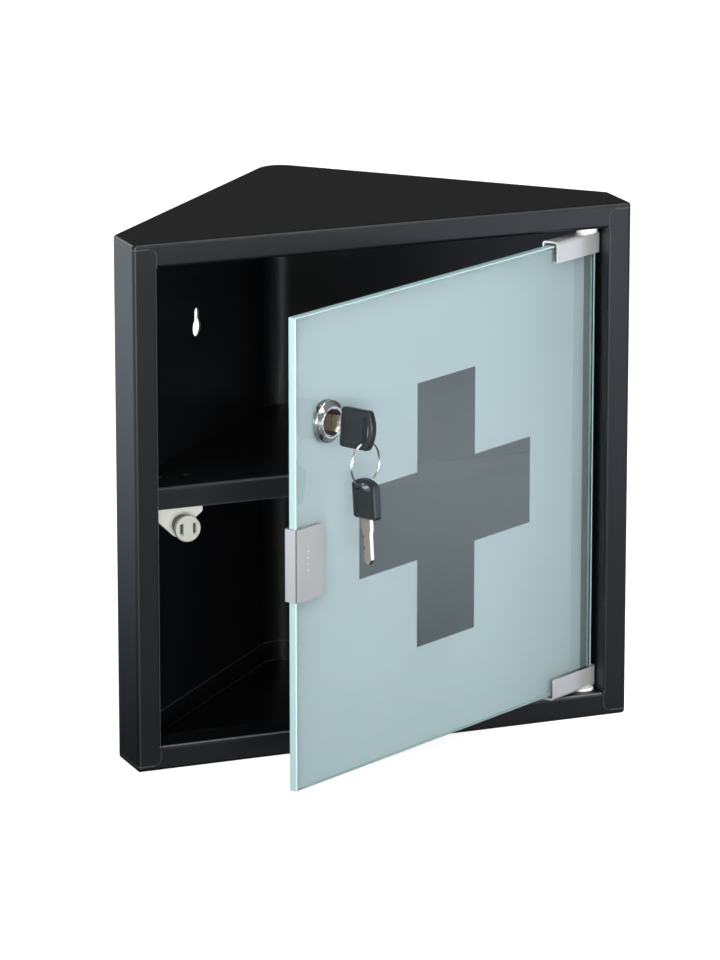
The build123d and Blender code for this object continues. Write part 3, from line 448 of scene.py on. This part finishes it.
@dataclass(frozen=True)
class EtchedGlass:
    """Clear float glass, etched on its back except for a cross, with ground edges, painted shade on the
    etching towards the hinge, painted highlight lines along the hinge end, and a hinge end face painted dark.
    """

    name: str = "frosted_glass"
    window: CrossWindow = CrossWindow()
    clear: Colour = (0.955, 0.985, 0.975)
    frost: Colour = (0.560, 0.670, 0.692)
    frost_pale: Colour = (0.640, 0.750, 0.768)
    rim: Colour = (0.40, 0.55, 0.55)
    end_green_and_shade: Colour = (0.030, 0.075, 0.070)
    index: float = 1.52
    skin: float = 0.0007
    end_span: Span = (0.0003, 0.0001)
    rim_span: Span = (0.0009, 0.0004)
    margin: float = 0.0078
    margin_fade: float = 0.0002
    margin_cover: float = 0.42
    front_glint_line: float = 0.0018
    back_glint_line: float = 0.0020
    line_fade: float = 0.0003
    hinge_shade: float = 0.86
    hinge_shade_span: Span = (0.02, 0.125)
    hinge_shade_share: float = 0.8
    grain_scale: float = 2400.0
    grain_depth: float = 0.00003
    cloud_scale: float = 14.0
    roughness: float = 0.55
    rim_polish: float = 0.2

    def build(self) -> bpy.types.Material:
        """Make the material."""
        graph = Graph(self.name)
        spot = graph.on_door()
        x, y, z = graph.split(spot)
        back = y.step(GLASS_BACK - self.skin, GLASS_BACK - self.skin / 2)
        front = y.step(GLASS_FRONT + self.skin, GLASS_FRONT + self.skin / 2)
        ends = (x - GLASS_LEFT).at_most(z - GLASS_LOW).at_most(GLASS_TOP - z)
        to_hinge = GLASS_RIGHT - x
        # The hinge end face is dark green: the glass's edge tint, darkened with painted shade.
        on_end = to_hinge.step(*self.end_span) * (1 - front)
        # Painted highlight lines on front and back along the hinge end, partly ground arris; with the ground
        # edges they take the rim colour.
        lit = front * to_hinge.step(self.front_glint_line, self.front_glint_line - self.line_fade)
        behind = back * to_hinge.step(self.back_glint_line, self.back_glint_line - self.line_fade)
        rim_and_glints = ends.step(*self.rim_span).at_least(lit.at_least(behind * (1 - on_end)))
        hinge_side = to_hinge.step(self.margin + self.margin_fade, self.margin - self.margin_fade)
        cover = 1 - hinge_side * (1 - self.margin_cover)
        etched = back * (1 - self.window.mask(graph, x, z)) * cover
        grain = graph.noise(spot, self.grain_scale, 2.0, 0.7)
        cloud = graph.noise(spot, self.cloud_scale, 2.0)
        frost = graph.blend(cloud * 0.5 + grain * 0.5, self.frost, self.frost_pale)
        # Painted shade: the etching darkens towards the hinge.
        hinge_shaded_frost = tuple(value * self.hinge_shade for value in self.frost)
        frost = graph.blend(x.step(*self.hinge_shade_span) * self.hinge_shade_share, frost, hinge_shaded_frost)
        pane = graph.surface(
            {
                "Base Color": self.clear,
                "Roughness": 0.0,
                "IOR": self.index,
                "Transmission Weight": 1.0,
            }
        )
        matt = graph.surface(
            {
                "Base Color": graph.blend(on_end, graph.blend(rim_and_glints, frost, self.rim), self.end_green_and_shade),
                "Roughness": self.roughness - rim_and_glints * self.rim_polish,
                "Normal": graph.bump(grain, self.grain_depth),
            }
        )
        return graph.finish(graph.mix(etched.at_least(rim_and_glints).at_least(on_end), pane, matt))


@dataclass(frozen=True)
class BrushedSteel:
    """Stainless sheet with a fine straight grain, and a painted shade line in its tightest bend."""

    name: str
    run: Run = Run.ALONG_DOOR
    colour: Colour = (0.91, 0.90, 0.895)
    metal: float = 0.75
    roughness: float = 0.34
    bend: Span | None = None
    bend_width: float = 0.0008
    bend_shade: float = 0.18
    shade: float = 0.88
    cloud_scale: float = 60.0
    cloud_share: float = 0.3
    grain_depth: float = 0.000004
    grain_rough: float = 0.12

    def build(self) -> bpy.types.Material:
        """Make the material."""
        graph = Graph(self.name)
        spot = graph.on_door()
        stretched = graph.add("ShaderNodeVectorMath", {"operation": "MULTIPLY"}, {0: spot, 1: self.run.value})
        lines = graph.noise(stretched, 1.0, 3.0, 0.6)
        cloud = graph.noise(spot, self.cloud_scale, 2.0)
        dull = tuple(value * self.shade for value in self.colour)
        streaks = lines * (1 - self.cloud_share) + cloud * self.cloud_share
        colour = graph.blend(streaks, dull, self.colour)
        if self.bend:
            # Painted shade: a dark line along the bend.
            x, y, _ = graph.split(spot)
            near_x = (x - self.bend[0]).step(self.bend_width, self.bend_width * 0.7)
            near_y = (y - self.bend[1]).step(self.bend_width, self.bend_width * 0.7)
            shaded = tuple(value * self.bend_shade for value in self.colour)
            colour = graph.blend(near_x * near_y, colour, shaded)
        return graph.finish(
            graph.surface(
                {
                    "Base Color": colour,
                    "Metallic": self.metal,
                    "Roughness": self.roughness - self.grain_rough / 2 + lines * self.grain_rough,
                    "Normal": graph.bump(lines, self.grain_depth),
                }
            )
        )


@dataclass(frozen=True)
class Plating:
    """Bright metal: chrome, nickel, zinc or brass, with faint handling marks."""

    name: str
    colour: Colour
    roughness: float = 0.12
    grain_scale: float = 900.0
    grain_depth: float = 0.000002
    smear: float = 0.08
    cloud_scale: float = 180.0
    shade: float = 0.8

    def build(self) -> bpy.types.Material:
        """Make the material."""
        graph = Graph(self.name)
        spot = graph.place()
        cloud = graph.noise(spot, self.cloud_scale, 3.0, 0.6)
        grain = graph.noise(spot, self.grain_scale, 2.0)
        dark = tuple(value * self.shade for value in self.colour)
        return graph.finish(
            graph.surface(
                {
                    "Base Color": graph.blend(cloud, dark, self.colour),
                    "Metallic": 1.0,
                    "Roughness": self.roughness + cloud * self.smear,
                    "Normal": graph.bump(grain, self.grain_depth),
                }
            )
        )


@dataclass(frozen=True)
class Moulding:
    """Moulded plastic with a fine grain and slight colour drift, and dark behind stem_from if given."""

    name: str
    colour: Colour
    roughness: float = 0.4
    gloss: float = 0.45
    grain_scale: float = 2600.0
    grain_depth: float = 0.00001
    grain_rough: float = 0.1
    cloud_scale: float = 90.0
    drift: float = 0.12
    stem_from: float | None = None
    stem: Colour = (0.10, 0.085, 0.07)
    stem_fade: float = 0.0003

    def build(self) -> bpy.types.Material:
        """Make the material."""
        graph = Graph(self.name)
        spot = graph.place()
        cloud = graph.noise(spot, self.cloud_scale, 2.0)
        grain = graph.noise(spot, self.grain_scale, 2.0, 0.6)
        dark = tuple(value * (1 - self.drift) for value in self.colour)
        colour = graph.blend(cloud, dark, self.colour)
        if self.stem_from is not None:
            behind = graph.split(spot)[1].step(self.stem_from, self.stem_from + self.stem_fade)
            colour = graph.blend(behind, colour, self.stem)
        return graph.finish(
            graph.surface(
                {
                    "Base Color": colour,
                    "Roughness": self.roughness - self.grain_rough / 2 + grain * self.grain_rough,
                    "Specular IOR Level": self.gloss,
                    "Normal": graph.bump(grain, self.grain_depth),
                }
            )
        )


def open_door() -> Matrix:
    """The turn about the hinge that opens the shut door as it is shown."""
    hinge = Matrix.Translation((HINGE_X, HINGE_Y, 0))
    return hinge @ Matrix.Rotation(DOOR_ANGLE, 4, "Z") @ hinge.inverted()


def finished_mesh(name: str, shape: bmesh.types.BMesh, placing: Matrix) -> bpy.types.Object:
    """Turn a bmesh into a smooth shaded piece in its place.

    Args:
        name: The piece's name.
        shape: The mesh, which is freed.
        placing: Where it goes.

    Returns:
        The new object, at the origin with its place in its mesh.
    """
    shape.transform(placing)
    mesh = bpy.data.meshes.new(name)
    shape.to_mesh(mesh)
    shape.free()
    for polygon in mesh.polygons:
        polygon.use_smooth = True
    mesh.set_sharp_from_angle(angle=SHARP_ANGLE)
    piece = bpy.data.objects.new(name, mesh)
    bpy.context.scene.collection.objects.link(piece)
    return piece


Finish = Union[PowderCoat, EtchedGlass, BrushedSteel, Plating, Moulding]


def dress(nodes: Mapping[str, bpy.types.Object], finish: Finish, names: Sequence[str]) -> None:
    """Give CAD nodes a finish.

    Args:
        nodes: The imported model's nodes.
        finish: The finish to build.
        names: The nodes that get it.
    """
    material = finish.build()
    for name in names:
        mesh = nodes[name].data
        mesh.materials.clear()
        mesh.materials.append(material)
        LOG.info("%s has the finish %s", name, finish.name)


@dataclass
class Carcass:
    """The folded steel body with its shelf and the door's bushings."""

    paint: PowderCoat = PowderCoat()
    nylon: Moulding = Moulding("white_nylon", (0.90, 0.90, 0.89), 0.36)
    tab_inner: float = 0.1351
    tab_outer: float = 0.1405
    tab_front: float = -0.08722
    tab_back: float = -0.0867
    sill_tab: Span = (0.0029, 0.0125)
    header_tab: Span = (0.2895, 0.2991)

    def build_tabs(self) -> bpy.types.Object:
        """Make the tabs of sill and header that close the rounded corners of the stiles.

        Returns:
            One piece with a tab behind each of the four corners.
        """
        shape = bmesh.new()
        for side in (-1.0, 1.0):
            for low, high in (self.sill_tab, self.header_tab):
                across = side * (self.tab_inner + self.tab_outer) / 2
                middle = Vector((across, (self.tab_front + self.tab_back) / 2, (low + high) / 2))
                size = Vector((self.tab_outer - self.tab_inner, self.tab_back - self.tab_front, high - low))
                bmesh.ops.create_cube(shape, size=1.0, matrix=Matrix.LocRotScale(middle, None, size))
        return finished_mesh("corner_tabs", shape, Matrix.Identity(4))

    def dress(self, nodes: Mapping[str, bpy.types.Object]) -> None:
        """Finish the sheet parts and the bushings."""
        dress(nodes, self.paint, ("body_wrapper", "top_panel", "bottom_panel", "shelf"))
        tabs = self.build_tabs()
        tabs.data.materials.append(nodes["body_wrapper"].data.materials[0])
        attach(tabs, "cabinet")
        dress(nodes, self.nylon, ("pivot_bushing_top", "pivot_bushing_bottom", "pivot_spacer"))


@dataclass
class GlassDoor:
    """The pane with its steel clips, pins and keeper."""

    glass: EtchedGlass = EtchedGlass()
    steel: BrushedSteel = BrushedSteel("brushed_steel")
    keeper: BrushedSteel = BrushedSteel(
        "keeper_steel", Run.UPRIGHT, (0.625, 0.61, 0.60), roughness=0.42, bend=(-0.1357, -0.0792)
    )
    vinyl: Moulding = Moulding("clear_vinyl", (0.05, 0.07, 0.065), 0.3)
    pin: Plating = Plating("pin_steel", (0.55, 0.55, 0.56), 0.2)
    screw: Plating = Plating("screw_zinc", (0.58, 0.58, 0.57), 0.28)

    def dress(self, nodes: Mapping[str, bpy.types.Object]) -> None:
        """Finish the pane and its fittings."""
        dress(nodes, self.glass, ("door_glass",))
        dress(nodes, self.steel, ("hinge_clip_top", "hinge_clip_bottom"))
        dress(nodes, self.keeper, ("keeper_plate",))
        dress(nodes, self.vinyl, ("clip_liner_top", "clip_liner_bottom", "keeper_liner"))
        dress(nodes, self.pin, ("pivot_pin_top", "pivot_pin_bottom"))
        dress(nodes, self.screw, ("clip_set_screws",))


@dataclass
class CamLock:
    """The cam lock in the glass, whose body is turned again with fine rounds."""

    centre_x: float = -0.1062
    centre_z: float = 0.22
    bore: float = 0.00605
    recess_radius: float = 0.0076
    recess: float = 0.0008
    face_radius: float = 0.0090
    radius: float = 0.0117
    rim: float = 0.0008
    back: float = -0.0003
    height: float = 0.0027
    barrel_radius: float = 0.0080
    barrel_flat: float = 0.0072
    barrel_end: float = 0.0174
    thread_pitch: float = 0.0010
    thread_depth: float = 0.00035
    round_over: float = 0.0003
    steps: int = 128
    chrome: Plating = Plating("lock_chrome", (0.94, 0.94, 0.95), 0.04, smear=0.05)
    core: Plating = Plating("dark_nickel", (0.040, 0.035, 0.028), 0.24, 420.0, 0.00006)
    nut: Plating = Plating("nut_chrome", (0.80, 0.80, 0.81), 0.10)
    wafer: Plating = Plating("wafer_brass", (0.55, 0.42, 0.18), 0.3)
    cam: Plating = Plating("cam_zinc", (0.56, 0.56, 0.55), 0.3)
    gasket: Moulding = Moulding("gasket_grey", (0.10, 0.11, 0.11), 0.5)

    def profile(self) -> list[tuple[float, float]]:
        """Outline of the turned body, with its edges rounded over and its thread as steps.

        Returns:
            Its points as radius and depth from the glass's front.
        """
        face = self.back - self.height
        floor = face + self.recess
        soft = self.round_over
        outline = [
            (self.bore, self.barrel_end),
            (self.bore, floor),
            (self.recess_radius, floor),
            (self.recess_radius, face + soft),
            (self.recess_radius + soft * 0.3, face + soft * 0.3),
            (self.recess_radius + soft, face),
            (self.face_radius - soft, face),
            (self.face_radius, face + soft * 0.25),
            (self.radius - soft, self.back - self.rim - soft * 0.6),
            (self.radius - soft * 0.3, self.back - self.rim - soft * 0.2),
            (self.radius, self.back - self.rim + soft * 0.2),
            (self.radius, self.back - soft * 0.5),
            (self.radius - soft * 0.5, self.back),
        ]
        depth = self.back
        while depth + self.thread_pitch < self.barrel_end - soft:
            outline.append((self.barrel_radius - self.thread_depth, depth))
            outline.append((self.barrel_radius, depth + self.thread_pitch * 0.5))
            depth += self.thread_pitch
        outline.append((self.barrel_radius - self.thread_depth, depth))
        outline.append((self.barrel_radius - self.thread_depth, self.barrel_end))
        return outline

    def build(self) -> bpy.types.Object:
        """Turn the lock's body about its line and lay it in the open door."""
        shape = bmesh.new()
        ring = [shape.verts.new((radius, depth, 0)) for radius, depth in self.profile()]
        loop = [shape.edges.new((a, b)) for a, b in zip(ring, ring[1:] + ring[:1])]
        bmesh.ops.spin(
            shape, geom=ring + loop, cent=(0, 0, 0), axis=(0, 1, 0), angle=2 * math.pi,
            steps=self.steps, use_merge=True,
        )
        bmesh.ops.recalc_face_normals(shape, faces=shape.faces)
        for vert in shape.verts:
            if vert.co.y > self.back + HAIR and abs(vert.co.x) > self.barrel_flat:
                vert.co.x = math.copysign(self.barrel_flat, vert.co.x)
        at_lock = Matrix.Translation((self.centre_x, GLASS_FRONT, self.centre_z))
        return finished_mesh("lock_case", shape, open_door() @ at_lock)

    def dress(self, nodes: Mapping[str, bpy.types.Object]) -> None:
        """Finish the lock's parts."""
        case = self.build()
        case.data.materials.append(self.chrome.build())
        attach(case, "door")
        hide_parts("lock_body")
        dress(nodes, self.nut, ("lock_nut",))
        dress(nodes, self.core, ("lock_plug",))
        dress(nodes, self.wafer, ("lock_wafers",))
        dress(nodes, self.cam, ("lock_cam", "cam_screw", "lock_washer"))
        dress(nodes, self.gasket, ("lock_gasket",))


@dataclass
class Keys:
    """The key in the lock, the ring and the spare key."""

    bow: Moulding = Moulding("black_plastic", (0.010, 0.0135, 0.015), 0.34, 0.36)
    blade: Plating = Plating("key_nickel", (0.42, 0.39, 0.345), 0.2)
    ring: Plating = Plating("ring_nickel", (0.70, 0.70, 0.69), 0.12)

    def dress(self, nodes: Mapping[str, bpy.types.Object]) -> None:
        """Finish both keys and the ring."""
        dress(nodes, self.bow, ("key_bow", "spare_key_bow"))
        dress(nodes, self.blade, ("key_blade", "spare_key_blade"))
        dress(nodes, self.ring, ("key_ring",))


@dataclass
class PushLatch:
    """The magnetic push latch under the shelf; its spring closes up as it is pushed, but is wound here at
    rest length.
    """

    travel: float = 0.005
    wire: float = 0.0004
    coil_radius: float = 0.0033
    pitch: float = 0.0026
    wire_sides: int = 10
    steps_per_turn: int = 28
    wire_steel: Plating = Plating("spring_wire", (0.42, 0.42, 0.43), 0.22)
    white: Moulding = Moulding("latch_white", (0.56, 0.565, 0.51), 0.32)
    # Same white plastic as the bracket, painted darker to offset the stronger light on the plunger's head.
    head: Moulding = Moulding("plunger_white_painted_darker", (0.39, 0.395, 0.345), 0.32, stem_from=-0.0681)
    screw: Plating = Plating("latch_screw_zinc", (0.55, 0.55, 0.54), 0.3)
    magnet: Moulding = Moulding("magnet_black", (0.03, 0.03, 0.032), 0.45)

    def build_spring(self) -> bpy.types.Object:
        """Wind the spring where the solid one is.

        Returns:
            The spring, fixed to the cabinet at its rest length.
        """
        low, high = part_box("latch_spring")
        turns = (high.y - low.y - 2 * self.wire) / self.pitch
        steps = round(turns * self.steps_per_turn)
        shape = bmesh.new()
        bmesh.ops.create_circle(shape, cap_ends=False, radius=self.wire, segments=self.wire_sides)
        bmesh.ops.translate(shape, verts=shape.verts, vec=(self.coil_radius, 0, 0))
        bmesh.ops.spin(
            shape, geom=shape.verts[:] + shape.edges[:], cent=(0, 0, 0), axis=(0, 1, 0),
            dvec=(0, turns * self.pitch / steps, 0), angle=2 * math.pi * turns, steps=steps,
        )
        bmesh.ops.holes_fill(shape, edges=shape.edges, sides=self.wire_sides)
        bmesh.ops.recalc_face_normals(shape, faces=shape.faces)
        centre = (low + high) / 2
        at_seat = Matrix.Translation((centre.x, low.y + self.wire, centre.z))
        spring = finished_mesh("latch_coil", shape, at_seat)
        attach(spring, "cabinet")
        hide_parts("latch_spring")
        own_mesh(spring)
        return spring

    def dress(self, nodes: Mapping[str, bpy.types.Object]) -> None:
        """Finish the latch's parts."""
        spring = self.build_spring()
        spring.data.materials.append(self.wire_steel.build())
        dress(nodes, self.white, ("latch_bracket", "latch_housing"))
        dress(nodes, self.head, ("latch_plunger",))
        dress(nodes, self.screw, ("latch_screws",))
        dress(nodes, self.magnet, ("latch_magnet",))


@dataclass
class Softbox:
    """One soft rectangular light, aimed at a point."""

    name: str
    place: Point
    target: Point
    width: float
    height: float
    power: float
    colour: Colour = (1.0, 1.0, 1.0)

    def build(self) -> None:
        """Add the light to the scene."""
        light = bpy.data.lights.new(self.name, "AREA")
        light.shape = "RECTANGLE"
        light.size = self.width
        light.size_y = self.height
        light.energy = self.power
        light.color = self.colour
        holder = bpy.data.objects.new(self.name, light)
        holder.location = self.place
        aim = Vector(self.target) - Vector(self.place)
        holder.rotation_euler = aim.to_track_quat("-Z", "Y").to_euler()
        bpy.context.scene.collection.objects.link(holder)


@dataclass
class Studio:
    """The pale floor, the surrounding light and the softboxes."""

    floor_size: float = 40.0
    floor_colour: Colour = (0.80, 0.80, 0.80)
    floor_rough: float = 0.9
    floor_glow: float = 0.75
    floor_drift: float = 0.015
    bounce_tint: Colour = (0.90, 1.0, 1.12)
    bounce_low: float = 0.07
    bounce_right: float = 0.80
    bounce_far: float = 0.45
    bounce_behind: float = 0.75
    bounce_left: float = 1.65
    right_span: Span = (-0.05, 0.65)
    far_span: Span = (0.7, 1.1)
    behind_span: Span = (-0.10, 1.10)
    left_span: Span = (-0.40, -0.65)
    room_span: Span = (-0.25, 0.35)
    room_front: float = 0.28
    room_behind: float = 0.11

    def build_floor(self) -> None:
        """Make the floor: white to look at, with its light coming from the right and from behind."""
        mesh = bpy.data.meshes.new("floor")
        shape = bmesh.new()
        bmesh.ops.create_grid(shape, x_segments=1, y_segments=1, size=self.floor_size / 2)
        shape.to_mesh(mesh)
        shape.free()
        floor = bpy.data.objects.new("floor", mesh)
        bpy.context.scene.collection.objects.link(floor)
        graph = Graph("pale_floor")
        spot = graph.place()
        x, y, _ = graph.split(spot)
        nearer = 1 - x.step(*self.far_span) * self.bounce_far
        from_right = x.step(*self.right_span) * nearer * self.bounce_right
        from_left = x.step(*self.left_span) * self.bounce_left
        from_behind = y.step(*self.behind_span) * self.bounce_behind
        bounce = self.bounce_low + from_right.at_least(from_behind).at_least(from_left)
        cloud = graph.noise(spot, 3.0, 2.0)
        dusty = tuple(value * (1 - self.floor_drift) for value in self.floor_colour)
        seen = graph.surface(
            {
                "Base Color": graph.blend(cloud, dusty, self.floor_colour),
                "Roughness": self.floor_rough,
                "Specular IOR Level": 0.0,
                "Emission Color": (1.0, 1.0, 1.0),
                "Emission Strength": self.floor_glow,
            }
        )
        lit = graph.add("ShaderNodeEmission", None, {"Color": self.bounce_tint, "Strength": bounce})
        direct = graph.add("ShaderNodeLightPath", None, None, "Is Camera Ray")
        mesh.materials.append(graph.finish(graph.mix(direct, lit, seen)))

    def build_room(self) -> None:
        """Surround the object with pale light that is darker behind it."""
        world = bpy.data.worlds.new("studio_room")
        bpy.context.scene.world = world
        world.use_nodes = True
        nodes, links = world.node_tree.nodes, world.node_tree.links
        nodes.clear()
        direction = nodes.new("ShaderNodeTexCoord")
        parts = nodes.new("ShaderNodeSeparateXYZ")
        span = nodes.new("ShaderNodeMapRange")
        span.interpolation_type = "SMOOTHSTEP"
        for place, value in enumerate((*self.room_span, self.room_front, self.room_behind), start=1):
            span.inputs[place].default_value = value
        path = nodes.new("ShaderNodeLightPath")
        choice = nodes.new("ShaderNodeMix")
        choice.inputs[3].default_value = 1.0
        backdrop = nodes.new("ShaderNodeBackground")
        out = nodes.new("ShaderNodeOutputWorld")
        links.new(direction.outputs["Generated"], parts.inputs[0])
        links.new(parts.outputs["Y"], span.inputs["Value"])
        links.new(path.outputs["Is Camera Ray"], choice.inputs[0])
        links.new(span.outputs[0], choice.inputs[2])
        links.new(choice.outputs[0], backdrop.inputs["Strength"])
        links.new(backdrop.outputs[0], out.inputs["Surface"])

    def build_lights(self) -> None:
        """Place the softboxes."""
        middle = (0.0, -0.05, 0.15)
        for box in (
            Softbox("key_left", (-1.5, -2.2, 1.5), middle, 1.3, 1.3, 26.0),
            Softbox("key_right", (1.25, -2.3, 1.6), middle, 1.0, 1.0, 16.0),
            Softbox("fill_low", (-0.7, -2.9, 0.40), middle, 1.2, 0.7, 95.0),
            Softbox("above", (0.85, -0.95, 2.7), middle, 1.2, 1.2, 28.0),
            Softbox(
                "paint_glint", (0.56, -0.97, 0.14), (0.145, -0.075, 0.28), 0.24, 0.24, 0.92, (0.86, 1.0, 1.18)
            ),
            Softbox("back_left", (-1.4, 1.9, 1.3), middle, 1.2, 1.2, 34.0),
        ):
            box.build()

    def build(self) -> None:
        """Build the whole studio."""
        self.build_floor()
        self.build_room()
        self.build_lights()
        bpy.context.scene.view_settings.view_transform = "Standard"


@dataclass
class PhotoCamera:
    """The camera at the photograph's viewing angle."""

    place: Point = (-1.16948, -2.89853, 0.96331)
    yaw: float = 22.311
    pitch: float = 14.875
    lens: float = 210.2
    film: float = 36.0
    nearest: float = 0.05
    furthest: float = 60.0

    def build(self) -> None:
        """Add the camera and make it the scene's own."""
        data = bpy.data.cameras.new("photo_camera")
        data.lens = self.lens
        data.sensor_width = self.film
        data.clip_start = self.nearest
        data.clip_end = self.furthest
        camera = bpy.data.objects.new("photo_camera", data)
        camera.location = self.place
        camera.rotation_euler = (math.radians(90 - self.pitch), 0, math.radians(-self.yaw))
        bpy.context.scene.collection.objects.link(camera)
        bpy.context.scene.camera = camera


def main() -> None:
    """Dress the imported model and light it."""
    logging.basicConfig(level=logging.INFO, format="%(name)s: %(message)s")
    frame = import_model()
    nodes = frame["nodes"]
    for group in (Carcass(), GlassDoor(), CamLock(), Keys(), PushLatch()):
        group.dress(nodes)
        LOG.info("%s is finished", type(group).__name__)
    Studio().build()
    PhotoCamera().build()
    LOG.info("boxes written")


if __name__ == "__main__":
    main()
